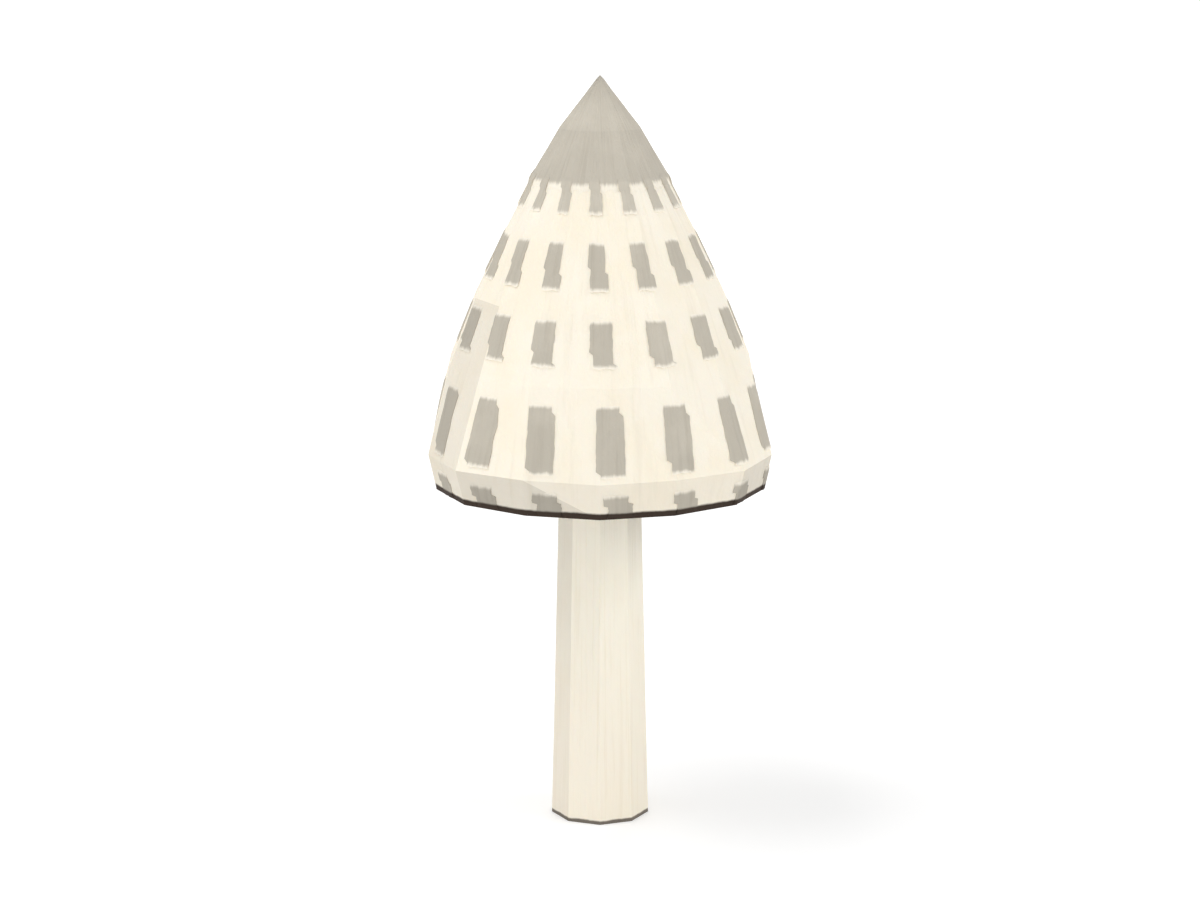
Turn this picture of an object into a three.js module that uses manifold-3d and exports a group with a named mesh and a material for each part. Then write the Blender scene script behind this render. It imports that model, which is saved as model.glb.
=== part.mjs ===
// Shaggy ink cap: a bell-shaped cap with free gills, on a long stem that stands on its cut base.
// Millimetres, +Z up. The origin is the middle of the stem's flat cut base, and -Y is the front.

import * as THREE from 'three';
import { mergeVertices } from 'three/addons/utils/BufferGeometryUtils.js';
import Module from 'manifold-3d';

const wasm = await Module();
wasm.setup();

// The whole mushroom
const totalHeight = 150;
const pieceGap = 0.3; // clearance between touching pieces
const cutPast = 0.5; // how far a cutting solid runs past what it cuts

// Cap
const capHeight = 80.8;
const capRadius = 34.8;
const capSides = 14;
const rimHeight = totalHeight - capHeight;
const discFlesh = 3.4; // wall of the cap near the top
const rimFlesh = 1.5; // wall of the cap at its margin

// Stem
const stemSides = 9;
const stemBaseRadius = 10;
const stemWaistRadius = 8.5; // where it goes in under the cap
const stemTopRadius = 6.8;
const stemTop = 131; // it reaches the flesh under the disc

// Scales: the torn outer skin, whole over the point and in rows of flaps below it
const skinRelief = 0.45;
const skinRoot = 0.5; // how deep its solids reach into the flesh
const scalesAround = 15;
const firstTurn = -0.15; // where the first row starts past the front, in pitches of the scales
const rowDrift = 0.1; // how much further each row starts, in pitches
const scaleTear = 0.15; // how far a scale's sides are torn in, as a share of its width
const discFoot = 0.76; // where the whole skin ends, as a share of the cap's height

// Each row's top and foot, as shares of the cap's height, and how much of the row its scales cover.
// Seen from outside, a scale's left side is torn in below leftFrom and its right side above rightTo,
// as shares of the scale's height.
const scaleRows = [
  { top: 0.77, foot: 0.696, leftFrom: 0.7, rightTo: 0.62, cover: 0.43 },
  { top: 0.625, foot: 0.526, leftFrom: 0.48, rightTo: 0.33, cover: 0.44 },
  { top: 0.451, foot: 0.355, leftFrom: 0.28, rightTo: 0.15, cover: 0.45 },
  { top: 0.261, foot: 0.108, leftFrom: 0.12, rightTo: 0.87, cover: 0.4 },
  { top: 0.055, foot: 0, leftFrom: 0.5, rightTo: 0.6, cover: 0.41 },
];

// Gills
const gillsPerSide = 3;
const gillThickness = 0.7;
const gillBack = 0.6; // the flesh that the gills hang from
const gillBore = 9.3; // they stay free of the stem
const gillTop = 126;
const gillLift = 0.8; // how far they end above the margin
const gillArch = 3; // how far their edges rise towards the stem

// The bell from its point down to its margin: height above the margin and radius, as shares of
// the cap's, and how far a ring's corners stand in and out by turns, in millimetres.
const bellOutline = [
  { up: 1, out: 0, ruffle: 0 },
  { up: 0.876, out: 0.226, ruffle: 0.1 },
  { up: 0.762, out: 0.382, ruffle: -0.15 },
  { up: 0.623, out: 0.555, ruffle: 0.2 },
  { up: 0.471, out: 0.72, ruffle: -0.3 },
  { up: 0.306, out: 0.871, ruffle: -0.8 },
  { up: 0.088, out: 1, ruffle: 1.1 },
  { up: 0, out: 0.955, ruffle: 0.4 },
];

// The stem from its base up: height and radius.
const stemOutline = [
  { z: 0, radius: stemBaseRadius },
  { z: 30, radius: (stemBaseRadius + stemWaistRadius) / 2 },
  { z: 61, radius: stemWaistRadius },
  { z: stemTop, radius: stemTopRadius },
];

const bellRings = bellOutline.map(({ up, out, ruffle }) => ({
  z: rimHeight + up * capHeight,
  radius: out * capRadius,
  ruffle,
}));

// Corner k of a ring: 0 faces the front, and they count towards +X.
function corner(radius, z, k, sides) {
  const turn = (k * 2 * Math.PI) / sides;
  return new THREE.Vector3(radius * Math.sin(turn), -radius * Math.cos(turn), z);
}

function evenRing(radius, z, sides) {
  return Array.from({ length: sides }, (_, k) => corner(radius, z, k, sides));
}

// A ring of the bell, whose corners lean in and out in threes, less and less towards the back.
function ruffledRing(radius, z, ruffle) {
  return Array.from({ length: capSides }, (_, k) => {
    const fromFront = Math.min(k, capSides - k);
    const lean = -Math.sin((fromFront * 2 * Math.PI) / 3) * Math.cos((fromFront * Math.PI) / capSides);
    return corner(radius + ruffle * lean, z, k, capSides);
  });
}

// The bell's ring at any height, drawn in by a wall thickness.
function bellRingAt(z, inset) {
  const below = bellRings.findIndex((ring) => ring.z <= z);
  const lower = bellRings[below];
  const upper = bellRings[below - 1] ?? lower;
  const share = upper === lower ? 0 : (z - lower.z) / (upper.z - lower.z);
  const radius = THREE.MathUtils.lerp(lower.radius, upper.radius, share);
  const ruffle = THREE.MathUtils.lerp(lower.ruffle, upper.ruffle, share);
  return ruffledRing(radius - inset, z, ruffle);
}

function wallAt(z) {
  return THREE.MathUtils.mapLinear(z, rimHeight, stemTop, rimFlesh, discFlesh);
}

// The inside of the bell, from a height down to another, with something more to its thickness.
function insideRings(top, bottom, extra) {
  const between = bellRings.map((ring) => ring.z).filter((z) => z < top && z > bottom);
  return [top, ...between, bottom].map((z) => bellRingAt(z, wallAt(z) + extra));
}

// The two triangles of a panel between two rings. Its fold runs from the upper left corner to the
// lower right one, seen from outside the bell, whichever way the rings are followed.
function panel(here, hereNext, there, thereNext, rising) {
  if (rising) return [here, there, hereNext, hereNext, there, thereNext];
  return [here, thereNext, hereNext, here, there, thereNext];
}

// A skin through rings of corners, which goes down the outside and up any inside. An end that is
// a single point closes in a cone, and an end that is a ring closes flat.
function loft(rings) {
  const points = rings.flat();
  const starts = rings.map((ring, row) => rings.slice(0, row).flat().length);
  const at = (row, k) => starts[row] + (k % rings[row].length);
  const faces = [];
  const last = rings.length - 1;
  for (let row = 0; row < last; row += 1) {
    const rising = rings[row + 1][0].z > rings[row][0].z;
    for (let k = 0; k < rings[row + 1].length; k += 1) {
      if (rings[row].length === 1) faces.push(at(row, 0), at(row + 1, k), at(row + 1, k + 1));
      else faces.push(...panel(at(row, k), at(row, k + 1), at(row + 1, k), at(row + 1, k + 1), rising));
    }
  }
  for (let k = 1; k < rings[0].length - 1; k += 1) faces.push(at(0, 0), at(0, k), at(0, k + 1));
  for (let k = 1; k < rings[last].length - 1; k += 1) {
    faces.push(at(last, 0), at(last, k + 1), at(last, k));
  }
  const geometry = new THREE.BufferGeometry().setFromPoints(points);
  geometry.setIndex(faces);
  return geometry;
}

function solid(geometry) {
  const bare = geometry.clone();
  bare.deleteAttribute('normal');
  bare.deleteAttribute('uv');
  const merged = mergeVertices(bare, 1e-4);
  return new wasm.Manifold(new wasm.Mesh({
    numProp: 3,
    vertProperties: new Float32Array(merged.attributes.position.array),
    triVerts: new Uint32Array(merged.index.array),
  }));
}

function geometryOf(body) {
  const { vertProperties, triVerts } = body.getMesh();
  const geometry = new THREE.BufferGeometry();
  geometry.setAttribute('position', new THREE.BufferAttribute(vertProperties, 3));
  geometry.setIndex(new THREE.BufferAttribute(triVerts, 1));
  return geometry;
}

// A wedge from the axis outwards, between two heights, given as shares of the cap's, and two turns.
function wedgeGeometry(top, foot, fromTurn, toTurn) {
  const reach = capRadius * 2;
  const outline = new THREE.Shape();
  outline.moveTo(0, 0);
  outline.lineTo(reach * Math.sin(fromTurn), -reach * Math.cos(fromTurn));
  outline.lineTo(reach * Math.sin(toTurn), -reach * Math.cos(toTurn));
  outline.closePath();
  const wedge = new THREE.ExtrudeGeometry(outline, { depth: (top - foot) * capHeight, bevelEnabled: false });
  wedge.translate(0, 0, rimHeight + foot * capHeight);
  return wedge;
}

// One scale's room: its middle at full height, and its two sides, which are torn shorter.
function scaleWedges({ top, foot, leftFrom, rightTo }, turn, width) {
  const tear = width * scaleTear;
  const left = turn - width / 2;
  const right = turn + width / 2;
  const leftFoot = THREE.MathUtils.lerp(foot, top, leftFrom);
  const rightTop = THREE.MathUtils.lerp(foot, top, rightTo);
  return [
    wedgeGeometry(top, foot, left + tear, right - tear),
    wedgeGeometry(top, leftFoot, left, right - tear),
    wedgeGeometry(rightTop, foot, left + tear, right),
  ].map(solid);
}

// The outer skin that is left: all of it over the point, and rows of scales below.
function skinSolid() {
  const point = new THREE.Vector3(0, 0, totalHeight);
  const root = new THREE.Vector3(0, 0, totalHeight - 2 * skinRoot);
  const rings = bellRings.slice(1);
  const over = rings.map(({ radius, z, ruffle }) => ruffledRing(radius + skinRelief, z, ruffle));
  const under = rings.map(({ radius, z, ruffle }) => ruffledRing(radius - skinRoot, z, ruffle));
  const skin = solid(loft([[point], ...over])).subtract(solid(loft([[root], ...under])));
  const pitch = (2 * Math.PI) / scalesAround;
  const rooms = [];
  scaleRows.forEach((row, index) => {
    for (let k = 0; k < scalesAround; k += 1) {
      const turn = (k + firstTurn + index * rowDrift) * pitch;
      rooms.push(...scaleWedges(row, turn, pitch * row.cover));
    }
  });
  const disc = solid(new THREE.BoxGeometry(totalHeight, totalHeight, totalHeight))
    .translate([0, 0, rimHeight + discFoot * capHeight + totalHeight / 2]);
  return skin.intersect(wasm.Manifold.union([disc, ...rooms]));
}

// The flesh of the cap: over the point, down the outside, under the margin and up the inside to
// the flat spot that the stem carries.
function capGeometry() {
  const outside = bellRings.slice(1).map(({ radius, z, ruffle }) => ruffledRing(radius, z, ruffle));
  const inside = insideRings(stemTop + pieceGap, rimHeight, 0).reverse();
  const flesh = loft([[new THREE.Vector3(0, 0, totalHeight)], ...outside, ...inside]);
  return geometryOf(solid(flesh).add(skinSolid()));
}

// One gill as an upright plate, with its edge arched up towards the stem.
function gillGeometry() {
  const reach = capRadius;
  const foot = rimHeight + gillLift;
  const outline = new THREE.Shape();
  outline.moveTo(gillBore, foot + gillArch);
  outline.quadraticCurveTo((gillBore + reach) / 2, foot + gillArch, reach, foot);
  outline.lineTo(reach, gillTop);
  outline.lineTo(gillBore, gillTop);
  outline.closePath();
  const plate = new THREE.ExtrudeGeometry(outline, {
    depth: gillThickness,
    curveSegments: 4,
    bevelEnabled: false,
  });
  plate.translate(0, 0, -gillThickness / 2);
  plate.rotateX(Math.PI / 2);
  return plate;
}

// All the gills and the thin flesh that they hang from, inside the bell.
function gillsGeometry() {
  const foot = rimHeight + gillLift;
  const bell = solid(loft(insideRings(gillTop, foot, pieceGap)));
  const hollow = solid(loft(insideRings(gillTop + cutPast, foot - cutPast, pieceGap + gillBack)));
  const gill = solid(gillGeometry());
  const count = gillsPerSide * capSides;
  let gills = bell.subtract(hollow);
  for (let k = 0; k < count; k += 1) {
    const turn = ((k + 0.5) * 360) / count;
    gills = gills.add(gill.rotate([0, 0, turn]).intersect(bell));
  }
  return geometryOf(gills);
}

function stemGeometry() {
  return loft([...stemOutline].reverse().map(({ z, radius }) => evenRing(radius, z, stemSides)));
}

function part(name, geometry, color, roughness) {
  const flatSided = geometry.toNonIndexed();
  flatSided.computeVertexNormals();
  const material = new THREE.MeshStandardMaterial({ color, roughness, metalness: 0 });
  const mesh = new THREE.Mesh(flatSided, material);
  mesh.name = name;
  return mesh;
}

const inkCap = new THREE.Group();
inkCap.add(part('cap', capGeometry(), '#fbf1de', 0.85));
inkCap.add(part('gills', gillsGeometry(), '#d9c8bd', 0.9));
inkCap.add(part('stem', stemGeometry(), '#f2e9d8', 0.8));

export default inkCap;
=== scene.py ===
# A shaggy ink cap standing on its cut stem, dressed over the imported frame.
import math
import bpy
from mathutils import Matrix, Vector


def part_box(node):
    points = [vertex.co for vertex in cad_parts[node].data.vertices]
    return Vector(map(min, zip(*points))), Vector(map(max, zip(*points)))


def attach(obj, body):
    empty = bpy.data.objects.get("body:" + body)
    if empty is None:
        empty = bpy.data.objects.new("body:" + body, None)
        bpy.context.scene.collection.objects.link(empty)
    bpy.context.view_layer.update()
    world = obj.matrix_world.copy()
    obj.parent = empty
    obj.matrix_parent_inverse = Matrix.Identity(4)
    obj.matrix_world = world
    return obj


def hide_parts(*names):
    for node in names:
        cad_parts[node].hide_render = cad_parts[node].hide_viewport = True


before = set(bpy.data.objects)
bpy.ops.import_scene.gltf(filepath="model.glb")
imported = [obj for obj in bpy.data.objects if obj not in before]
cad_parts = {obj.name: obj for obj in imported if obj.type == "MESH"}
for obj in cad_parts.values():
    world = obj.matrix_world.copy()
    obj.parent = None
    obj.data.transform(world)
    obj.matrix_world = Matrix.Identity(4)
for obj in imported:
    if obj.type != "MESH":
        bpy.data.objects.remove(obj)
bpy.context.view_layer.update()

scene = bpy.context.scene
scene.view_settings.view_transform = "Standard"

mm = 0.001
fullTurn = 2 * math.pi
capLow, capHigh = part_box("cap")
stemLow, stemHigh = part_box("stem")
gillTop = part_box("gills")[1].z
rimZ = capLow.z
capHeight = capHigh.z - rimZ
farOut = 200 * mm        # clear of the mushroom on every side


# camera
viewPoint = {
    "away": 0.572,       # from the stem's axis to the lens
    "height": 0.2016,
    "lookDown": 12.43,   # degrees
    "across": 23.18,     # degrees taken in from side to side
    "sensor": 36,        # millimetres
}


def placeCamera():
    data = bpy.data.cameras.new("camera")
    data.sensor_width = viewPoint["sensor"]
    data.lens = viewPoint["sensor"] / 2 / math.tan(math.radians(viewPoint["across"] / 2))
    data.clip_start = 0.01
    data.clip_end = 50
    camera = bpy.data.objects.new("camera", data)
    camera.location = (0, -viewPoint["away"], viewPoint["height"])
    camera.rotation_euler = (math.radians(90 - viewPoint["lookDown"]), 0, 0)
    scene.collection.objects.link(camera)
    scene.camera = camera


placeCamera()
print("camera set")


# small helpers for node trees
def link(tree, value, socket):
    if isinstance(value, bpy.types.NodeSocket):
        tree.links.new(value, socket)
    elif value is not None:
        socket.default_value = value


def add(tree, kind, feeds=(), **settings):
    made = tree.nodes.new(kind)
    for name, value in settings.items():
        setattr(made, name, value)
    if isinstance(feeds, dict):
        for name, value in feeds.items():
            link(tree, value, next(s for s in made.inputs if s.enabled and s.name == name))
    else:
        for value, socket in zip(feeds, [s for s in made.inputs if s.enabled]):
            link(tree, value, socket)
    return made


def result(made, name=None):
    return next(s for s in made.outputs if s.enabled and name in (None, s.name))


def calc(tree, operation, *feeds):
    return result(add(tree, "ShaderNodeMath", feeds, operation=operation))


def vectorCalc(tree, operation, *feeds):
    made = add(tree, "ShaderNodeVectorMath", operation=operation)
    sockets = [s for s in made.inputs if s.enabled]
    if operation == "SCALE":
        sockets = [made.inputs["Vector"], made.inputs["Scale"]]
    for value, socket in zip(feeds, sockets):
        link(tree, value, socket)
    return result(made)


def xyz(tree, x, y, z):
    return result(add(tree, "ShaderNodeCombineXYZ", [x, y, z]))


def moved(tree, place, direction, distance):
    return vectorCalc(tree, "ADD", place, vectorCalc(tree, "SCALE", direction, distance))


def lengthOf(tree, vector):
    return result(add(tree, "ShaderNodeVectorMath", [vector], operation="LENGTH"), "Value")


def heightOf(tree, place):
    return result(add(tree, "ShaderNodeSeparateXYZ", [place]), "Z")


def blend(tree, share, low, high):       # a number that goes from low to high with share
    return result(add(tree, "ShaderNodeMix", [share, low, high], data_type="FLOAT"))


def ramp(tree, value, start, end):       # 0 before start, 1 past end, smooth between
    return result(add(tree, "ShaderNodeMapRange", [value, start, end, 0.0, 1.0],
                      interpolation_type="SMOOTHSTEP"))


def waver(tree, place, scale, detail):   # a noise that goes to either side of zero
    noise = result(add(tree, "ShaderNodeTexNoise", {"Vector": place, "Scale": scale, "Detail": detail}))
    return calc(tree, "SUBTRACT", noise, 0.5)


def placeInNoise(tree, numbers, paces):
    # a spot's own numbers, each times how fast the noise is to change with it
    return xyz(tree, *(calc(tree, "MULTIPLY", number, pace) for number, pace in zip(numbers, paces)))


def stored(tree, name):                  # what store kept under this name
    return result(add(tree, "GeometryNodeInputNamedAttribute", {"Name": name}, data_type="FLOAT"))


def store(tree, geometry, name, value, domain="POINT"):
    return result(add(tree, "GeometryNodeStoreNamedAttribute", {
        "Geometry": geometry, "Name": name, "Value": value}, data_type="FLOAT", domain=domain))


def startTree(name, inputs):
    tree = bpy.data.node_groups.new(name, "GeometryNodeTree")
    tree.interface.new_socket("Geometry", in_out="OUTPUT", socket_type="NodeSocketGeometry")
    tree.interface.new_socket("Geometry", in_out="INPUT", socket_type="NodeSocketGeometry")
    for label, kind in inputs.items():
        tree.interface.new_socket(label, in_out="INPUT", socket_type="NodeSocket" + kind)
    given = tree.nodes.new("NodeGroupInput")
    return tree, given.outputs


def endTree(tree, geometry, material):
    whole = result(add(tree, "GeometryNodeRealizeInstances", [geometry]))
    dressed = add(tree, "GeometryNodeSetMaterial", {"Geometry": whole, "Material": material})
    final = tree.nodes.new("NodeGroupOutput")
    tree.links.new(result(dressed), final.inputs[0])


def grow(name, base, tree, values):
    # runs a tree on a mesh and keeps what comes out as a plain piece
    carrier = bpy.data.objects.new(name + "Maker", base)
    scene.collection.objects.link(carrier)
    modifier = carrier.modifiers.new("grow", "NODES")
    modifier.node_group = tree
    for item in tree.interface.items_tree:
        if item.item_type == "SOCKET" and item.in_out == "INPUT" and item.name in values:
            modifier[item.identifier] = values[item.name]
    view = bpy.context.evaluated_depsgraph_get()
    shape = bpy.data.meshes.new_from_object(carrier.evaluated_get(view), depsgraph=view)
    bpy.data.objects.remove(carrier)
    shape.name = name
    piece = bpy.data.objects.new(name, shape)
    scene.collection.objects.link(piece)
    return piece


# shader groups
grainPerBlotch = 14.0                    # how much finer the grain is than the blotches
raggedPerMetre = 420.0                   # how fine the ragged edge of a stain is


def startGroup(name, inputs, outputs):
    tree = bpy.data.node_groups.new(name, "ShaderNodeTree")
    for label, kind in inputs.items():
        tree.interface.new_socket(label, in_out="INPUT", socket_type="NodeSocket" + kind)
    for label, kind in outputs.items():
        tree.interface.new_socket(label, in_out="OUTPUT", socket_type="NodeSocket" + kind)
    given = tree.nodes.new("NodeGroupInput")
    return tree, given.outputs


def endGroup(tree, values):
    final = tree.nodes.new("NodeGroupOutput")
    for name, value in values.items():
        tree.links.new(value, final.inputs[name])


def makeFleshGroup():
    # fibres that run up and down a round piece and meet at its point, and soft blotches
    tree, given = startGroup("fleshTone", {
        "Place": "Vector", "Blotch Size": "Float", "Fibres Around": "Float", "Fibre Length": "Float",
    }, {"Blotch": "Float", "Fibre": "Float", "Grain": "Float"})
    parts = add(tree, "ShaderNodeSeparateXYZ", [given["Place"]])
    outward = vectorCalc(tree, "NORMALIZE", xyz(tree, parts.outputs["X"], parts.outputs["Y"], 0.0))
    rise = calc(tree, "DIVIDE", parts.outputs["Z"], given["Fibre Length"])
    along = moved(tree, xyz(tree, 0.0, 0.0, rise), outward, given["Fibres Around"])
    fibre = add(tree, "ShaderNodeTexNoise", {"Vector": along, "Scale": 1.0, "Detail": 5.0,
                                             "Roughness": 0.6})
    size = calc(tree, "DIVIDE", 1.0, given["Blotch Size"])
    blotch = add(tree, "ShaderNodeTexNoise", {"Vector": given["Place"], "Scale": size,
                                              "Detail": 3.0})
    fine = calc(tree, "MULTIPLY", size, grainPerBlotch)
    grain = add(tree, "ShaderNodeTexNoise", {"Vector": given["Place"], "Scale": fine,
                                             "Detail": 2.0})
    endGroup(tree, {
        "Blotch": result(blotch),
        "Fibre": result(fibre),
        "Grain": result(grain),
    })
    return tree


def makeStainGroup():
    # a stain that creeps up from a height, with a ragged upper edge
    tree, given = startGroup("edgeStain", {
        "Place": "Vector", "From": "Float", "Reach": "Float", "Raggedness": "Float", "Full To": "Float",
    }, {"Stain": "Float"})
    height = heightOf(tree, given["Place"])
    ragged = waver(tree, given["Place"], raggedPerMetre, 4.0)
    wander = calc(tree, "MULTIPLY", ragged, given["Raggedness"])
    above = calc(tree, "SUBTRACT", calc(tree, "ADD", height, wander), given["From"])
    share = calc(tree, "DIVIDE", above, given["Reach"])
    dark = result(add(tree, "ShaderNodeMapRange", [share, given["Full To"], 1.0, 1.0, 0.0],
                      interpolation_type="SMOOTHSTEP"))
    endGroup(tree, {"Stain": dark})
    return tree


def makeShadeGroup():
    # painted shade: darkens a colour by the shade stored for its panel
    tree, given = startGroup("panelShade", {"Colour": "Color"}, {"Colour": "Color"})
    share = add(tree, "ShaderNodeAttribute", attribute_name="shade").outputs["Fac"]
    shaded = result(add(tree, "ShaderNodeMix", [1.0, given["Colour"], share], data_type="RGBA",
                        blend_type="MULTIPLY"))
    endGroup(tree, {"Colour": shaded})
    return tree


fleshTone = makeFleshGroup()
edgeStain = makeStainGroup()
panelShade = makeShadeGroup()


def rgb(red, green, blue):               # a colour as a paint chart gives it, made linear
    def linear(value):
        value /= 255
        return value / 12.92 if value <= 0.04045 else ((value + 0.055) / 1.055) ** 2.4
    return (linear(red), linear(green), linear(blue), 1.0)


def colourBlend(tree, share, low, high, mode="MIX"):
    return result(add(tree, "ShaderNodeMix", [share, low, high], data_type="RGBA", blend_type=mode))


def startMaterial(name, roughness, coat=0.0, subsurface=0.0):
    material = bpy.data.materials.new(name)
    material.use_nodes = True
    tree = material.node_tree
    shader = tree.nodes["Principled BSDF"]
    shader.inputs["Roughness"].default_value = roughness
    shader.inputs["Specular IOR Level"].default_value = 0.3
    shader.inputs["Coat Weight"].default_value = coat
    shader.inputs["Subsurface Weight"].default_value = subsurface
    shader.inputs["Subsurface Radius"].default_value = (1.0, 0.7, 0.45)
    shader.inputs["Subsurface Scale"].default_value = 0.0015
    place = tree.nodes.new("ShaderNodeTexCoord").outputs["Object"]
    return material, tree, shader, place


def useGroup(tree, group, values):
    made = tree.nodes.new("ShaderNodeGroup")
    made.node_tree = group
    for name, value in values.items():
        link(tree, value, made.inputs[name])
    return made.outputs


def tone(tree, place, blotch, around, length):
    return useGroup(tree, fleshTone, {
        "Place": place, "Blotch Size": blotch, "Fibres Around": around, "Fibre Length": length})


def stain(tree, place, start, reach, ragged, fullTo):
    return useGroup(tree, edgeStain, {
        "Place": place, "From": start, "Reach": reach, "Raggedness": ragged, "Full To": fullTo,
    })["Stain"]


# painted shade stored for each panel
def shade(tree, colour):
    return useGroup(tree, panelShade, {"Colour": colour})["Colour"]


def relief(tree, shader, height, depth):
    bump = add(tree, "ShaderNodeBump", {"Strength": 1.0, "Distance": depth, "Height": height})
    tree.links.new(bump.outputs["Normal"], shader.inputs["Normal"])


# colours of each kind of flesh
fleshLook = {
    "cream": rgb(252, 244, 228),
    "creamWarm": rgb(250, 240, 220),
    "creamShade": rgb(240, 231, 212),
    "discSkin": rgb(199, 192, 178),
    "scaleSkin": rgb(191, 184, 170),
    "skinStreak": rgb(222, 219, 216),    # multiplies the skin's colour in its darker streaks
    "stem": rgb(251, 242, 225),
    "stemPaintedLight": rgb(255, 248, 231),      # painted light higher up, against the shadow the cap casts on the stem
    "stemStreak": rgb(245, 242, 236),    # multiplies the stem's colour in its darker streaks
    "gill": rgb(205, 184, 170),
    "gillDark": rgb(120, 96, 84),
    "ink": rgb(52, 40, 31),
}


# how far ink creeps up from the edge, how raggedly, and the share of that where it is darkest
inkyEdge = {"reach": 1.5 * mm, "ragged": 0.4 * mm, "fullTo": 0.65}
inkyGills = {"reach": 3.5 * mm, "ragged": 2.0 * mm, "fullTo": 0.4}
earthyFoot = {"reach": 0.95 * mm, "ragged": 0.5 * mm, "fullTo": 0.6}
earthyShare = 0.85
fade = 0.9 * mm                          # over which skin pales into flesh at its ends
skinTurns = (0.6, 0.7)                   # from scale to disc colour, as shares of the cap's height
ripeReach = 35 * mm                      # how far up the gills have ripened
paintedLightHeights = (10 * mm, 55 * mm)             # heights between which painted light makes the stem paler
cutFace = (8.3 * mm, 9.3 * mm)           # the foot's pale flesh ends at the first, its skin is whole
                                         # from the second, measured out from the axis


def makeCapFlesh():
    material, tree, shader, place = startMaterial("capFlesh", 0.82, subsurface=0.12)
    made = tone(tree, place, blotch=12 * mm, around=16, length=20 * mm)
    colour = colourBlend(tree, ramp(tree, made["Blotch"], 0.35, 0.7), fleshLook["cream"],
                         fleshLook["creamWarm"])
    streaks = calc(tree, "MULTIPLY", ramp(tree, made["Fibre"], 0.52, 0.75), 0.6)
    colour = colourBlend(tree, streaks, colour, fleshLook["creamShade"])
    inky = stain(tree, place, rimZ, **inkyEdge)
    # painted shade stored for each panel darkens the flesh, then the inky edge
    colour = colourBlend(tree, inky, shade(tree, colour), fleshLook["ink"])
    tree.links.new(colour, shader.inputs["Base Color"])
    height = calc(tree, "ADD", made["Fibre"], calc(tree, "MULTIPLY", made["Grain"], 0.4))
    relief(tree, shader, height, 0.25 * mm)
    return material


def makeSkin():
    # the old outer skin, darker on the lower scales, which fades into the flesh at its ends
    material, tree, shader, place = startMaterial("capSkin", 0.78, subsurface=0.05)
    made = tone(tree, place, blotch=9 * mm, around=24, length=16 * mm)
    low, high = (rimZ + share * capHeight for share in skinTurns)
    upper = ramp(tree, heightOf(tree, place), low, high)
    colour = colourBlend(tree, upper, fleshLook["scaleSkin"], fleshLook["discSkin"])
    streaks = calc(tree, "MULTIPLY", ramp(tree, made["Fibre"], 0.45, 0.75), 0.4)
    colour = colourBlend(tree, streaks, colour, fleshLook["skinStreak"], "MULTIPLY")
    patches = calc(tree, "MULTIPLY", ramp(tree, made["Blotch"], 0.45, 0.75), 0.12)
    colour = colourBlend(tree, patches, colour, fleshLook["cream"])
    ragged = calc(tree, "MULTIPLY", calc(tree, "SUBTRACT", made["Fibre"], 0.5), 1.2 * mm)
    gap = add(tree, "ShaderNodeAttribute", attribute_name="endGap").outputs["Fac"]
    whole = ramp(tree, calc(tree, "ADD", gap, ragged), 0.0, fade)
    colour = colourBlend(tree, whole, fleshLook["cream"], colour)
    inky = stain(tree, place, rimZ, **inkyEdge)
    # painted shade stored for each panel darkens the skin, then the inky edge
    colour = colourBlend(tree, inky, shade(tree, colour), fleshLook["ink"])
    tree.links.new(colour, shader.inputs["Base Color"])
    height = calc(tree, "ADD", made["Fibre"], calc(tree, "MULTIPLY", made["Grain"], 0.5))
    relief(tree, shader, height, 0.2 * mm)
    return material


def makeGillFlesh():
    material, tree, shader, place = startMaterial("gillFlesh", 0.8)
    made = tone(tree, place, blotch=4 * mm, around=60, length=20 * mm)
    unripe = ramp(tree, heightOf(tree, place), rimZ, rimZ + ripeReach)
    colour = colourBlend(tree, unripe, fleshLook["gillDark"], fleshLook["gill"])
    speckle = calc(tree, "MULTIPLY", ramp(tree, made["Grain"], 0.55, 0.7), 0.3)
    colour = colourBlend(tree, speckle, colour, fleshLook["ink"])
    inky = stain(tree, place, rimZ, **inkyGills)
    colour = colourBlend(tree, inky, colour, fleshLook["ink"])
    tree.links.new(colour, shader.inputs["Base Color"])
    relief(tree, shader, made["Fibre"], 0.1 * mm)
    return material


def makeStemFlesh():
    material, tree, shader, place = startMaterial("stemFlesh", 0.7, subsurface=0.12)
    made = tone(tree, place, blotch=14 * mm, around=14, length=30 * mm)
    # painted light: the stem grows paler upwards, against the cap's shadow on its top
    paintedLightShare = ramp(tree, heightOf(tree, place), *paintedLightHeights)
    colour = colourBlend(tree, paintedLightShare, fleshLook["stem"], fleshLook["stemPaintedLight"])
    patches = calc(tree, "MULTIPLY", ramp(tree, made["Blotch"], 0.4, 0.75), 0.5)
    colour = colourBlend(tree, patches, colour, fleshLook["creamWarm"])
    streaks = calc(tree, "MULTIPLY", ramp(tree, made["Fibre"], 0.5, 0.75), 0.7)
    colour = colourBlend(tree, streaks, colour, fleshLook["stemStreak"], "MULTIPLY")
    earthy = stain(tree, place, stemLow.z, **earthyFoot)
    flat = vectorCalc(tree, "MULTIPLY", place, (1, 1, 0))
    skinned = ramp(tree, lengthOf(tree, flat), *cutFace)
    earthy = calc(tree, "MULTIPLY", earthy, calc(tree, "MULTIPLY", skinned, earthyShare))
    # painted shade stored down one side darkens the stem, then the earthy foot
    colour = colourBlend(tree, earthy, shade(tree, colour), fleshLook["ink"])
    tree.links.new(colour, shader.inputs["Base Color"])
    height = calc(tree, "ADD", made["Fibre"], calc(tree, "MULTIPLY", made["Grain"], 0.25))
    relief(tree, shader, height, 0.2 * mm)
    return material


capFleshLook = makeCapFlesh()
capSkinLook = makeSkin()
gillFleshLook = makeGillFlesh()
stemFleshLook = makeStemFlesh()
print("materials made")


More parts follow.
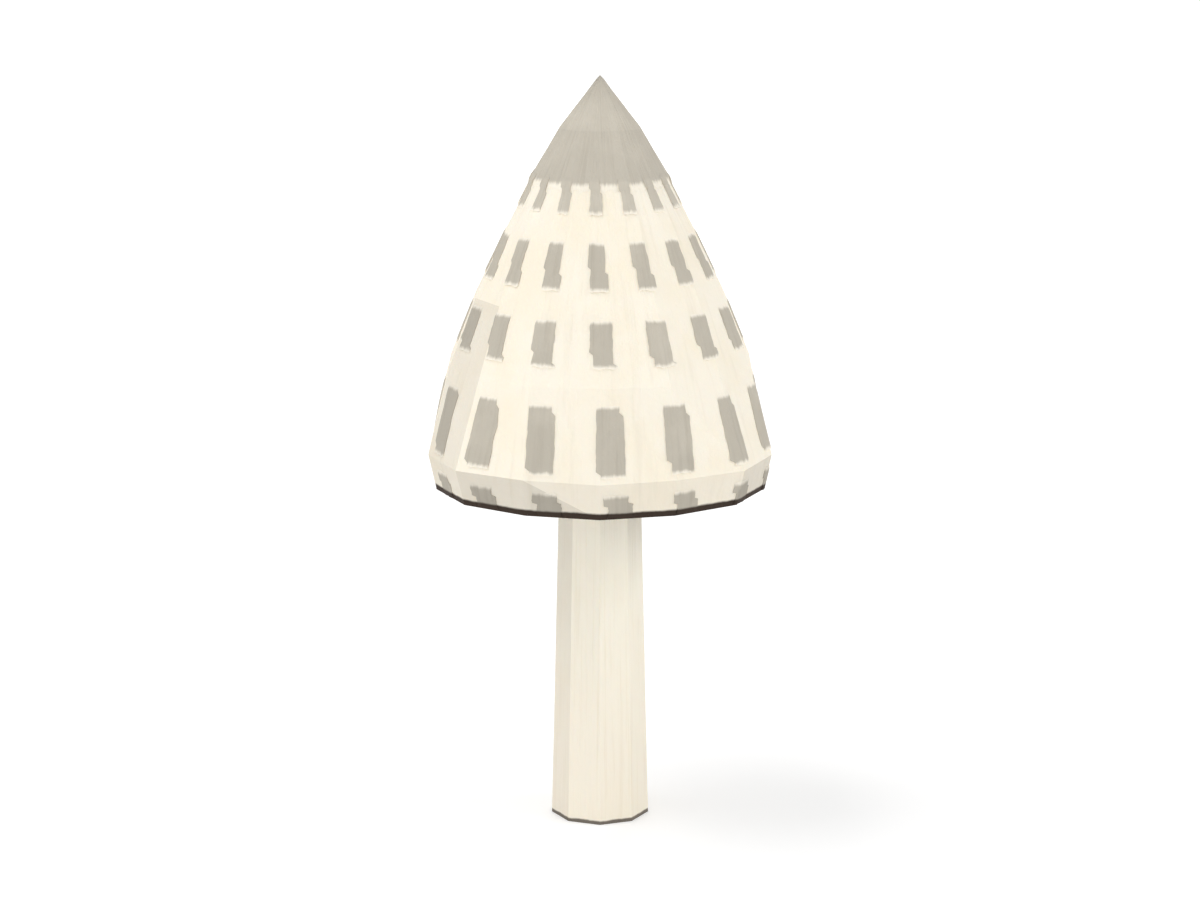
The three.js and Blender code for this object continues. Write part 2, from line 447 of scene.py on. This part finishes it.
# panelled shapes, as rings of corners
def cornerRing(radius, height, sides, ruffle=0.0):
    # ruffled corners lean in and out in threes, less and less towards the back
    ring = []
    for k in range(sides):
        fromFront = min(k, sides - k)
        lean = -math.sin(fromFront * fullTurn / 3) * math.cos(fromFront * math.pi / sides)
        turn = k * fullTurn / sides
        out = radius + ruffle * lean
        ring.append((out * math.sin(turn), -out * math.cos(turn), height))
    return ring


def panels(rings):
    # triangles between rings, with a fold from each panel's upper left to its lower right
    starts = []
    points = []
    for ring in rings:
        starts.append(len(points))
        points += ring
    faces = []
    for row in range(len(rings) - 1):
        here, there = rings[row], rings[row + 1]
        rising = there[0][2] > here[0][2]
        for k in range(len(there)):
            a = starts[row] + k % len(here)
            b = starts[row] + (k + 1) % len(here)
            c = starts[row + 1] + k
            d = starts[row + 1] + (k + 1) % len(there)
            if len(here) == 1:
                faces.append((a, c, d))
            elif rising:
                faces += [(a, c, b), (b, c, d)]
            else:
                faces += [(a, d, b), (a, c, d)]
    return points, faces, starts


# cap flesh
bell = {
    "sides": 14,
    "radius": capHigh.y,
    # height above the margin as a share of the cap's, radius as a share of its widest, and how far
    # corners lean in and out, in millimetres
    "outline": [
        (1.0, 0.0, 0.0), (0.876, 0.226, 0.1), (0.762, 0.382, -0.15), (0.623, 0.555, 0.2),
        (0.471, 0.72, -0.3), (0.306, 0.871, -0.8), (0.088, 1.0, 1.1), (0.0, 0.955, 0.4),
    ],
    "rimFlesh": 1.5 * mm,
    "discFlesh": 3.4 * mm,
    "overStem": 0.3 * mm,    # between the stem's top and the flesh above it
    # painted shade: a shaded panel gives back this much of the light that plain flesh does
    "shadeTones": {"faint": 0.95, "light": 0.9, "midShade": 0.85, "dark": 0.75},
    # which panels carry painted shade: tone, belt from the point down, panels counted from the front, and
    # halves, upper 0 and lower 1; a later line goes over an earlier one, and the back is the same
    "paintedShadePanels": [
        ("faint", 1, range(7), (0, 1)),    # the belt under the point
        ("midShade", 4, [4], (0, 1)),          # a strip down the left
        ("midShade", 5, [4], (0, 1)),
        ("light", 6, range(7), (0, 1)),    # the band at the edge
        ("midShade", 6, [3, 4], (0, 1)),
        ("dark", 6, [2, 5], (0, 1)),
        ("dark", 6, [6], [1]),
    ],
    "fineness": 4,
    "grain": 0.12 * mm,
    "grainSize": 3 * mm,
    "stretch": 3.0,          # how much longer than wide the grain is
}


def bellRing(height, inset):
    share = (height - rimZ) / capHeight
    outline = bell["outline"]
    below = next(i for i, (up, out, ruffle) in enumerate(outline) if up <= share + 1e-6)
    up, out, ruffle = outline[below]
    if share > up + 1e-6:
        upAbove, outAbove, ruffleAbove = outline[below - 1]
        part = (share - up) / (upAbove - up)
        out += (outAbove - out) * part
        ruffle += (ruffleAbove - ruffle) * part
    return cornerRing(out * bell["radius"] - inset, height, bell["sides"], ruffle * mm)


bellHeights = [rimZ + up * capHeight for up, out, ruffle in bell["outline"]]


def makeBellMesh():
    outside = [[(0, 0, bellHeights[0])]] + [bellRing(z, 0) for z in bellHeights[1:]]
    roof = stemHigh.z + bell["overStem"]
    inside = []
    for z in [rimZ] + [z for z in reversed(bellHeights) if rimZ < z < roof] + [roof]:
        part = (z - rimZ) / (stemHigh.z - rimZ)
        inside.append(bellRing(z, bell["rimFlesh"] + (bell["discFlesh"] - bell["rimFlesh"]) * part))
    points, faces, starts = panels(outside + inside)
    middle = len(points)
    last = starts[-1]
    points.append((0, 0, roof))
    for k in range(bell["sides"]):
        faces.append((last + k, middle, last + (k + 1) % bell["sides"]))
    shape = bpy.data.meshes.new("bell")
    shape.from_pydata(points, [], faces)
    upperFaces = bell["sides"] * 5       # of the cone at the point and two belts, two to a panel
    zones = shape.attributes.new("upper", "FLOAT", "FACE")
    shades = shape.attributes.new("shade", "FLOAT", "FACE")
    for index in range(len(faces)):
        zones.data[index].value = 1.0 if index < upperFaces else 0.0
        shades.data[index].value = 1.0
    # painted shade on the listed panels, in front and behind
    for tone, belt, shadedPanels, halves in bell["paintedShadePanels"]:
        for panel in shadedPanels:
            for turn in (panel, panel + bell["sides"] // 2):
                first = bell["sides"] * (2 * belt - 1) + 2 * turn
                for half in halves:
                    shades.data[first + half].value = bell["shadeTones"][tone]
    shape.validate()
    return shape


grainSetsIn = 1.0 * mm                   # how far above a still end the grain is whole


def makePanelTree():
    # splits flat panels finely and roughens them a little, with the folds between them left sharp
    tree, given = startTree("finePanels", {
        "Fineness": "Int", "Grain": "Float", "Grain Size": "Float", "Stretch": "Float",
        "Still Below": "Float", "Material": "Material",
    })
    folded = result(add(tree, "GeometryNodeSetShadeSmooth", {
        "Geometry": given["Geometry"], "Shade Smooth": False}, domain="EDGE"))
    fine = result(add(tree, "GeometryNodeSubdivideMesh", [folded, given["Fineness"]]))
    parts = add(tree, "ShaderNodeSeparateXYZ", [result(add(tree, "GeometryNodeInputPosition"))])
    clear = ramp(tree, parts.outputs["Z"], given["Still Below"],
                 calc(tree, "ADD", given["Still Below"], grainSetsIn))
    squeezed = xyz(tree, parts.outputs["X"], parts.outputs["Y"],
                   calc(tree, "DIVIDE", parts.outputs["Z"], given["Stretch"]))
    uneven = waver(tree, squeezed, calc(tree, "DIVIDE", 1.0, given["Grain Size"]), 3.0)
    push = calc(tree, "MULTIPLY", calc(tree, "MULTIPLY", uneven, given["Grain"]), clear)
    offset = vectorCalc(tree, "SCALE", result(add(tree, "GeometryNodeInputNormal")), push)
    rough = result(add(tree, "GeometryNodeSetPosition", {"Geometry": fine, "Offset": offset}))
    smooth = result(add(tree, "GeometryNodeSetShadeSmooth", {"Geometry": rough, "Shade Smooth": True}))
    endTree(tree, smooth, given["Material"])
    return tree


finePanels = makePanelTree()
bellMesh = makeBellMesh()
capFlesh = grow("capFlesh", bellMesh, finePanels, {
    "Fineness": bell["fineness"],
    "Grain": bell["grain"],
    "Grain Size": bell["grainSize"],
    "Stretch": bell["stretch"],
    "Still Below": rimZ,
    "Material": capFleshLook,
})
print("cap flesh grown", len(capFlesh.data.vertices))


sheetWeld = 0.002 * mm    # joins a plate's two sides to its edge
sheetFold = math.radians(50)    # edges that turn more than this stay sharp


def closeSheet(tree, sheet, under, over):
    # a thin plate from a sheet: one side goes to under, the other to over, with an edge between
    kept = result(add(tree, "GeometryNodeStoreNamedAttribute", {
        "Geometry": sheet, "Name": "overSpot", "Value": over},
        data_type="FLOAT_VECTOR", domain="POINT"))
    low = result(add(tree, "GeometryNodeSetPosition", {"Geometry": kept, "Position": under}))
    raised = add(tree, "GeometryNodeExtrudeMesh", {
        "Mesh": low, "Offset Scale": 0.0, "Individual": False}, mode="FACES")
    spot = result(add(tree, "GeometryNodeInputNamedAttribute", {"Name": "overSpot"},
                      data_type="FLOAT_VECTOR"))
    top = result(add(tree, "GeometryNodeSetPosition", {
        "Geometry": raised.outputs["Mesh"], "Selection": raised.outputs["Top"], "Position": spot}))
    base = result(add(tree, "GeometryNodeFlipFaces", [low]))
    joined = tree.nodes.new("GeometryNodeJoinGeometry")
    tree.links.new(top, joined.inputs[0])
    tree.links.new(base, joined.inputs[0])
    welded = result(add(tree, "GeometryNodeMergeByDistance", {
        "Geometry": result(joined), "Distance": sheetWeld}))
    bare = result(add(tree, "GeometryNodeRemoveAttribute", {"Geometry": welded, "Name": "overSpot"}))
    smooth = result(add(tree, "GeometryNodeSetShadeSmooth", {"Geometry": bare, "Shade Smooth": True}))
    angle = result(add(tree, "GeometryNodeInputMeshEdgeAngle"), "Unsigned Angle")
    sharp = calc(tree, "GREATER_THAN", angle, sheetFold)
    return result(add(tree, "GeometryNodeSetShadeSmooth", {
        "Geometry": smooth, "Selection": sharp, "Shade Smooth": False}, domain="EDGE"))


def outwardAt(tree, turn):               # straight out from the axis, counted from the front to the right
    back = calc(tree, "MULTIPLY", calc(tree, "COSINE", turn), -1.0)
    return xyz(tree, calc(tree, "SINE", turn), back, 0.0)


def manySheets(tree, columns, lines, count, number, places):
    # flat sheets laid on one another, each with its number and how far across and up it a spot is
    grid = result(add(tree, "GeometryNodeMeshGrid", [1.0, 1.0, columns, lines]))
    spot = add(tree, "ShaderNodeSeparateXYZ", [result(add(tree, "GeometryNodeInputPosition"))])
    for name, (axis, shift) in places.items():
        grid = store(tree, grid, name, calc(tree, "ADD", spot.outputs[axis], shift))
    points = result(add(tree, "GeometryNodePoints", [count]))
    copies = result(add(tree, "GeometryNodeInstanceOnPoints", {"Points": points, "Instance": grid}))
    copies = store(tree, copies, number, result(add(tree, "GeometryNodeInputIndex")), "INSTANCE")
    return result(add(tree, "GeometryNodeRealizeInstances", [copies]))


# whole skin over the point
discSkin = {
    "foot": bellHeights[2] - 1.5 * mm,   # it reaches a little past the second fold
    "relief": 0.3 * mm,
    "thin": 1.4 * mm,                    # over which it thins out to its foot
    "thinnest": 0.1,                     # what is left of its relief there
    "root": 0.25 * mm,
    "pale": 0.65 * mm,                   # how far up from its foot it has paled into flesh
}


def makeDiscTree():
    tree, given = startTree("discSkin", {
        "Relief": "Float", "Thin": "Float", "Root": "Float", "Foot": "Float", "Pale": "Float",
        "Material": "Material"})
    here = result(add(tree, "GeometryNodeInputPosition"))
    above = calc(tree, "SUBTRACT", heightOf(tree, here), given["Foot"])
    kept = calc(tree, "MULTIPLY", stored(tree, "upper"), calc(tree, "GREATER_THAN", above, 0.0))
    part = result(add(tree, "GeometryNodeDeleteGeometry", {
        "Geometry": given["Geometry"], "Selection": calc(tree, "LESS_THAN", kept, 0.5)}, domain="FACE"))
    part = store(tree, part, "endGap", calc(tree, "SUBTRACT", above, given["Pale"]))
    normal = result(add(tree, "GeometryNodeInputNormal"))
    thinning = blend(tree, ramp(tree, above, 0.0, given["Thin"]), discSkin["thinnest"], 1.0)
    over = moved(tree, here, normal, calc(tree, "MULTIPLY", given["Relief"], thinning))
    under = moved(tree, here, normal, calc(tree, "MULTIPLY", given["Root"], -1.0))
    plate = closeSheet(tree, part, under, over)
    endTree(tree, plate, given["Material"])
    return tree


capDisc = grow("capDisc", capFlesh.data, makeDiscTree(), {
    "Relief": discSkin["relief"],
    "Thin": discSkin["thin"],
    "Root": discSkin["root"],
    "Foot": discSkin["foot"],
    "Pale": discSkin["pale"],
    "Material": capSkinLook,
})
print("disc grown", len(capDisc.data.vertices))


# torn scales, in rows round the bell
scales = {
    "around": 15,
    "firstTurn": -0.15,      # where the first row starts, in scales past the front
    "rowDrift": 0.1,         # how much further each row starts, in scales
    "tear": 0.15,            # how far a corner is torn in, as a share of the width
    "tearSpread": 0.06,      # how much further or less a tear runs on one scale than on another
    "sway": 0.12,            # how far the sides wander, as a share of the width
    "wander": (5.0, 4.0, 3.7),    # how fast that changes across, up and from one scale to the next
    "skin": 0.22 * mm,
    "lift": 0.24 * mm,       # how far the lower end stands off the flesh
    "liftSpread": (0.7, 1.3),
    "root": 0.25 * mm,       # how deep the upper end sits in it
    "fray": 0.5 * mm,
    # top and foot as shares of the cap's height, how far up a scale's left edge is torn in, from where
    # on its right edge is, and how much of the row the scales cover
    "rows": [
        (0.762, 0.696, 0.7, 0.62, 0.43), (0.625, 0.526, 0.48, 0.33, 0.44),
        (0.451, 0.355, 0.28, 0.15, 0.45), (0.261, 0.108, 0.12, 0.87, 0.4),
        (0.055, 0.0, 0.5, 0.6, 0.41),
    ],
    "overDisc": 0.6 * mm,    # how far the first row's upper ends reach over the whole skin
    "overRim": 0.2 * mm,     # how far above the edge the last row's feet end
    "mesh": (9, 21),         # points across and along a scale
}


def chance(tree, given, flake, number, low, high):    # its own value for each scale
    return result(add(tree, "FunctionNodeRandomValue", {
        "Min": low, "Max": high, "ID": flake, "Seed": calc(tree, "ADD", given["Seed"], number),
    }, data_type="FLOAT"))


def tornPlace(tree, given, across, along, flake):
    # which way and how high each spot of a scale lies, with its sides torn in at two corners
    spread = scales["tearSpread"]
    lowEdge = calc(tree, "ADD", given["Lower Tear"], chance(tree, given, flake, 1, -spread, spread))
    highEdge = calc(tree, "ADD", given["Upper Tear"], chance(tree, given, flake, 2, -spread, spread))
    lowTear = calc(tree, "LESS_THAN", along, lowEdge)
    highTear = calc(tree, "GREATER_THAN", along, highEdge)
    left = calc(tree, "ADD", -0.5, calc(tree, "MULTIPLY", lowTear, given["Tear"]))
    right = calc(tree, "SUBTRACT", 0.5, calc(tree, "MULTIPLY", highTear, given["Tear"]))
    sideways = blend(tree, calc(tree, "ADD", across, 0.5), left, right)

    # ragged sides and a ragged lower end
    numbers = (across, along, calc(tree, "ADD", flake, given["Seed"]))
    wobble = waver(tree, placeInNoise(tree, numbers, scales["wander"]), 1.3, 2.0)
    sideways = calc(tree, "ADD", sideways, calc(tree, "MULTIPLY", wobble, scales["sway"]))
    turn = calc(tree, "MULTIPLY", flake, calc(tree, "DIVIDE", fullTurn, given["Count"]))
    turn = calc(tree, "ADD", calc(tree, "ADD", turn, given["First Turn"]),
                calc(tree, "MULTIPLY", sideways, given["Width"]))
    height = blend(tree, along, given["Foot"], given["Top"])
    lowEnd = calc(tree, "POWER", calc(tree, "SUBTRACT", 1.0, along), 3.0)
    frayed = calc(tree, "MULTIPLY", calc(tree, "MULTIPLY", wobble, lowEnd),
                  calc(tree, "MULTIPLY", given["Fray"], 2.0))
    return turn, calc(tree, "ADD", height, frayed)


def scaleDepths(tree, given, across, along, flake, height):
    # how far off the bell a scale's inner and outer faces are: it is rooted at its upper end, lifted
    # at its lower one, and thinner to the sides and over the top
    free = calc(tree, "POWER", calc(tree, "SUBTRACT", 1.0, along), 2.0)
    lifted = calc(tree, "MULTIPLY", given["Lift"],
                  chance(tree, given, flake, 3, *scales["liftSpread"]))
    stand = calc(tree, "SUBTRACT", lifted, given["Skin"])
    low = blend(tree, free, calc(tree, "MULTIPLY", given["Root"], -1.0), stand)
    fromMiddle = calc(tree, "ABSOLUTE", calc(tree, "MULTIPLY", across, 2.0))
    middle = calc(tree, "SUBTRACT", 1.0, calc(tree, "POWER", fromMiddle, 4.0))
    thick = calc(tree, "MULTIPLY", given["Skin"], blend(tree, middle, 0.6, 1.0))
    thick = calc(tree, "MULTIPLY", thick, blend(tree, ramp(tree, along, 0.85, 1.0), 1.0, 0.3))
    rooted = calc(tree, "MULTIPLY", given["Root"], calc(tree, "SUBTRACT", 1.0, free))

    # where it lies over the whole skin, it stands higher by that skin's relief
    past = calc(tree, "SUBTRACT", height, given["Bed From"])
    before = calc(tree, "MULTIPLY", given["Bed Reach"], -1.0)
    bed = calc(tree, "MULTIPLY", given["Bed"], ramp(tree, past, before, given["Bed Reach"]))
    rooted = calc(tree, "ADD", rooted, bed)
    return low, calc(tree, "ADD", low, calc(tree, "ADD", thick, rooted))


def makeScaleTree():
    tree, given = startTree("scaleRow", {
        "Top": "Float", "Foot": "Float", "Count": "Int", "First Turn": "Float", "Width": "Float",
        "Tear": "Float", "Lower Tear": "Float", "Upper Tear": "Float", "Skin": "Float",
        "Lift": "Float", "Root": "Float", "Fray": "Float", "Top Join": "Float", "Foot Join": "Float",
        "Bed": "Float", "Bed From": "Float", "Bed Reach": "Float", "Seed": "Int",
        "Material": "Material",
    })
    sheet = manySheets(tree, *scales["mesh"], given["Count"], "flake",
                       {"across": ("X", 0.0), "along": ("Y", 0.5)})
    across, along, flake = (stored(tree, name) for name in ("across", "along", "flake"))
    long = calc(tree, "SUBTRACT", given["Top"], given["Foot"])
    fromFoot = calc(tree, "ADD", calc(tree, "MULTIPLY", along, long), given["Foot Join"])
    fromTop = calc(tree, "ADD", calc(tree, "MULTIPLY", calc(tree, "SUBTRACT", 1.0, along), long),
                   given["Top Join"])
    sheet = store(tree, sheet, "endGap", calc(tree, "MINIMUM", fromFoot, fromTop))

    # lay each sheet on the bell, looking in from outside
    turn, height = tornPlace(tree, given, across, along, flake)
    outward = outwardAt(tree, turn)
    ray = add(tree, "GeometryNodeRaycast", {
        "Target Geometry": given["Geometry"], "Attribute": stored(tree, "shade"),
        "Source Position": moved(tree, xyz(tree, 0.0, 0.0, height), outward, farOut),
        "Ray Direction": vectorCalc(tree, "SCALE", outward, -1.0), "Ray Length": 2 * farOut,
    }, data_type="FLOAT")
    surface, normal = ray.outputs["Hit Position"], ray.outputs["Hit Normal"]
    # each scale takes the painted shade of the panel under it
    sheet = store(tree, sheet, "shade", ray.outputs["Attribute"])

    low, high = scaleDepths(tree, given, across, along, flake, height)
    under = moved(tree, surface, normal, low)
    over = moved(tree, surface, normal, high)
    plate = closeSheet(tree, sheet, under, over)
    endTree(tree, plate, given["Material"])
    return tree


def joinPieces(name, pieces):
    with bpy.context.temp_override(active_object=pieces[0], object=pieces[0],
                                   selected_objects=pieces, selected_editable_objects=pieces):
        bpy.ops.object.join()
    pieces[0].name = name
    pieces[0].data.name = name
    return pieces[0]


def makeScales():
    tree = makeScaleTree()
    pitch = fullTurn / scales["around"]
    made = []
    rows = scales["rows"]
    for row, (top, foot, lowerTear, upperTear, cover) in enumerate(rows):
        hung = row == 0                  # the first row hangs from the skin over the point
        cut = row == len(rows) - 1       # the last is cut off by the margin
        made.append(grow("scaleRow%d" % row, capFlesh.data, tree, {
            "Top": rimZ + top * capHeight + (scales["overDisc"] if hung else fade / 2),
            "Foot": rimZ + foot * capHeight + (scales["overRim"] if cut else -fade / 2),
            "Count": scales["around"],
            "First Turn": (scales["firstTurn"] + row * scales["rowDrift"]) * pitch,
            "Width": pitch * cover,
            "Tear": scales["tear"],
            "Lower Tear": lowerTear,
            "Upper Tear": upperTear,
            "Skin": scales["skin"],
            "Lift": scales["lift"],
            "Root": scales["root"],
            "Fray": scales["fray"],
            "Top Join": fade if hung else 0.0,
            "Foot Join": fade if cut else 0.0,
            "Bed": discSkin["relief"] if hung else 0.0,
            "Bed From": discSkin["foot"],
            "Bed Reach": scales["overDisc"],
            "Seed": 11 + row * 7,
            "Material": capSkinLook,
        }))
    return joinPieces("capScales", made)


capScales = makeScales()
print("scales grown", len(capScales.data.vertices))


# gills
gillPlates = {
    "count": 168,
    "bore": 9.6 * mm,        # from the axis, so that they stay free of the stem
    "shortStart": 0.5,       # where every other gill starts, as a share of the way out
    "foot": 0.8 * mm,        # how far they end above the margin
    "arch": 3.2 * mm,        # how far their edges rise towards the stem
    "thick": 0.4 * mm,       # at the flesh, and thinner towards the stem
    "root": 0.35 * mm,       # how far they run on into the flesh
    "wave": 0.012,           # radians
    "wander": (1.6, 3.0, 0.35),    # how fast that changes outwards, up and from one gill to the next
    "mesh": (7, 14),         # points out and up a plate
}


def makeGillTree():
    tree, given = startTree("gillPlates", {
        "Count": "Int", "Bore": "Float", "Short Start": "Float", "Foot": "Float", "Top": "Float",
        "Arch": "Float", "Thickness": "Float", "Root": "Float", "Wave": "Float", "Material": "Material",
    })
    sheet = manySheets(tree, *gillPlates["mesh"], given["Count"], "gill",
                       {"out": ("X", 0.5), "up": ("Y", 0.5)})
    out, up, gill = (stored(tree, name) for name in ("out", "up", "gill"))
    wave = waver(tree, placeInNoise(tree, (out, up, gill), gillPlates["wander"]), 1.0, 1.0)
    pitch = calc(tree, "DIVIDE", fullTurn, given["Count"])
    turn = calc(tree, "MULTIPLY", calc(tree, "ADD", gill, 0.5), pitch)
    wave = calc(tree, "MULTIPLY", wave, calc(tree, "MULTIPLY", given["Wave"], 2.0))
    turn = calc(tree, "ADD", turn, wave)
    outward = outwardAt(tree, turn)
    sideways = xyz(tree, calc(tree, "COSINE", turn), calc(tree, "SINE", turn), 0.0)
    odd = calc(tree, "MODULO", gill, 2.0)
    share = blend(tree, out, calc(tree, "MULTIPLY", odd, given["Short Start"]), 1.0)
    inward = calc(tree, "POWER", calc(tree, "SUBTRACT", 1.0, share), 0.7)
    foot = calc(tree, "ADD", given["Foot"], calc(tree, "MULTIPLY", given["Arch"], inward))
    height = blend(tree, up, foot, given["Top"])
    level = xyz(tree, 0.0, 0.0, height)
    ray = add(tree, "GeometryNodeRaycast", {
        "Target Geometry": given["Geometry"], "Source Position": level, "Ray Direction": outward,
        "Ray Length": farOut})
    wall = calc(tree, "ADD", ray.outputs["Hit Distance"], given["Root"])
    away = blend(tree, share, given["Bore"], wall)
    middle = moved(tree, level, outward, away)
    half = calc(tree, "MULTIPLY", given["Thickness"], blend(tree, share, 0.3, 0.5))
    under = moved(tree, middle, sideways, half)
    over = moved(tree, middle, sideways, calc(tree, "MULTIPLY", half, -1.0))
    plate = closeSheet(tree, sheet, under, over)
    endTree(tree, plate, given["Material"])
    return tree


gillFan = grow("gillFan", capFlesh.data, makeGillTree(), {
    "Count": gillPlates["count"],
    "Bore": gillPlates["bore"],
    "Short Start": gillPlates["shortStart"],
    "Foot": rimZ + gillPlates["foot"],
    "Top": gillTop,
    "Arch": gillPlates["arch"],
    "Thickness": gillPlates["thick"],
    "Root": gillPlates["root"],
    "Wave": gillPlates["wave"],
    "Material": gillFleshLook,
})
print("gills grown", len(gillFan.data.vertices))


# stem
stalk = {
    "sides": 9,
    "base": -stemLow.y,
    "waist": 8.5 * mm,       # where it goes in under the cap
    "top": 6.8 * mm,
    "waistZ": 61 * mm,
    "belt": 30 * mm,
    "shadedSide": 7,           # the side with painted shade, counted from the front
    "sideShadeTone": 0.9,         # painted shade: how much of plain flesh's light it gives back
    "fineness": 4,
    "grain": 0.1 * mm,
    "grainSize": 2.5 * mm,
    "stretch": 8.0,
}


def makeStalkMesh():
    outline = [
        (stemHigh.z, stalk["top"]), (stalk["waistZ"], stalk["waist"]),
        (stalk["belt"], (stalk["base"] + stalk["waist"]) / 2), (stemLow.z, stalk["base"]),
    ]
    rings = [cornerRing(radius, z, stalk["sides"]) for z, radius in outline]
    points, faces, starts = panels(rings)
    count = stalk["sides"]
    for start, z, upwards in ((starts[0], stemHigh.z, True), (starts[-1], stemLow.z, False)):
        middle = len(points)
        points.append((0, 0, z))
        for k in range(count):
            pair = (start + k, start + (k + 1) % count)
            faces.append((middle,) + (pair if upwards else pair[::-1]))
    shape = bpy.data.meshes.new("stalk")
    shape.from_pydata(points, [], faces)
    shades = shape.attributes.new("shade", "FLOAT", "FACE")
    for index in range(len(faces)):
        shades.data[index].value = 1.0
    # painted shade down one side of the stem
    for index in range(2 * count * (len(rings) - 1)):
        if index // 2 % count == stalk["shadedSide"]:
            shades.data[index].value = stalk["sideShadeTone"]
    shape.validate()
    return shape


stalkMesh = makeStalkMesh()
stemFlesh = grow("stemFlesh", stalkMesh, finePanels, {
    "Fineness": stalk["fineness"],
    "Grain": stalk["grain"],
    "Grain Size": stalk["grainSize"],
    "Stretch": stalk["stretch"],
    "Still Below": stemLow.z,
    "Material": stemFleshLook,
})
print("stem grown", len(stemFlesh.data.vertices))


# which piece stands for what
for piece, nodeName, slotName in (
    (capFlesh, "cap", "cap_flesh"), (capDisc, None, "cap_flesh"), (capScales, None, "cap_flesh"),
    (gillFan, "gills", "gill_flesh"), (stemFlesh, "stem", "stem_flesh"),
):
    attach(piece, "root")
    if nodeName:
        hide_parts(nodeName)


# floor and light
studio = {
    "floor": 20.0,
    "floorTone": (0.85, 0.85, 0.85, 1),
    "floorGlow": (0.28, 0.64),    # near the mushroom and far from it
    "glowTurns": (0.2, 1.5),      # how far off it changes from the one to the other
    "ambient": 0.5,
    "lampsAway": 1.5,
    "lampsAimAt": 0.09,
    "lamps": {
        # turn to the right of the front and height, in degrees, then width, depth and power
        "left": (-85, 62, 0.9, 0.9, 8.4),
        "right": (80, 25, 0.9, 0.9, 8.0),
        "low": (-25, 3, 1.6, 0.3, 7.0),
        "back": (175, 20, 0.9, 0.9, 5.0),
    },
}


def seen(tree):                          # 1 where the camera looks, also by way of gloss or glass
    rays = tree.nodes.new("ShaderNodeLightPath")
    direct = calc(tree, "MAXIMUM", rays.outputs["Is Camera Ray"], rays.outputs["Is Glossy Ray"])
    return calc(tree, "MAXIMUM", direct, rays.outputs["Is Transmission Ray"])


def makeFloor():
    half = studio["floor"] / 2
    shape = bpy.data.meshes.new("floor")
    shape.from_pydata([(-half, -half, 0), (half, -half, 0), (half, half, 0), (-half, half, 0)], [],
                      [(0, 1, 2, 3)])
    floor = bpy.data.objects.new("floor", shape)
    scene.collection.objects.link(floor)
    material = bpy.data.materials.new("paperWhite")
    material.use_nodes = True
    tree = material.node_tree
    shader = tree.nodes["Principled BSDF"]
    shader.inputs["Base Color"].default_value = studio["floorTone"]
    shader.inputs["Roughness"].default_value = 1.0
    shader.inputs["Specular IOR Level"].default_value = 0.0
    shader.inputs["Emission Color"].default_value = (1, 1, 1, 1)
    away = lengthOf(tree, tree.nodes.new("ShaderNodeTexCoord").outputs["Object"])
    glow = blend(tree, ramp(tree, away, *studio["glowTurns"]), *studio["floorGlow"])
    tree.links.new(calc(tree, "MULTIPLY", seen(tree), glow), shader.inputs["Emission Strength"])
    floor.data.materials.append(material)


def makeLight():
    world = bpy.data.worlds.new("studio")
    scene.world = world
    world.use_nodes = True
    tree = world.node_tree
    strength = blend(tree, seen(tree), studio["ambient"], 1.0)
    shader = tree.nodes["Background"]
    shader.inputs["Color"].default_value = (1, 1, 1, 1)
    tree.links.new(strength, shader.inputs["Strength"])
    target = Vector((0, 0, studio["lampsAimAt"]))
    for name, (turn, rise, wide, deep, power) in studio["lamps"].items():
        turn = math.radians(turn)
        rise = math.radians(rise)
        lamp = bpy.data.lights.new(name, "AREA")
        lamp.shape = "RECTANGLE"
        lamp.size = wide
        lamp.size_y = deep
        lamp.energy = power
        holder = bpy.data.objects.new(name, lamp)
        level = math.cos(rise)
        offset = Vector((math.sin(turn) * level, -math.cos(turn) * level, math.sin(rise)))
        holder.location = target + offset * studio["lampsAway"]
        holder.rotation_euler = offset.to_track_quat("Z", "Y").to_euler()
        scene.collection.objects.link(holder)


makeFloor()
makeLight()
print("studio set")
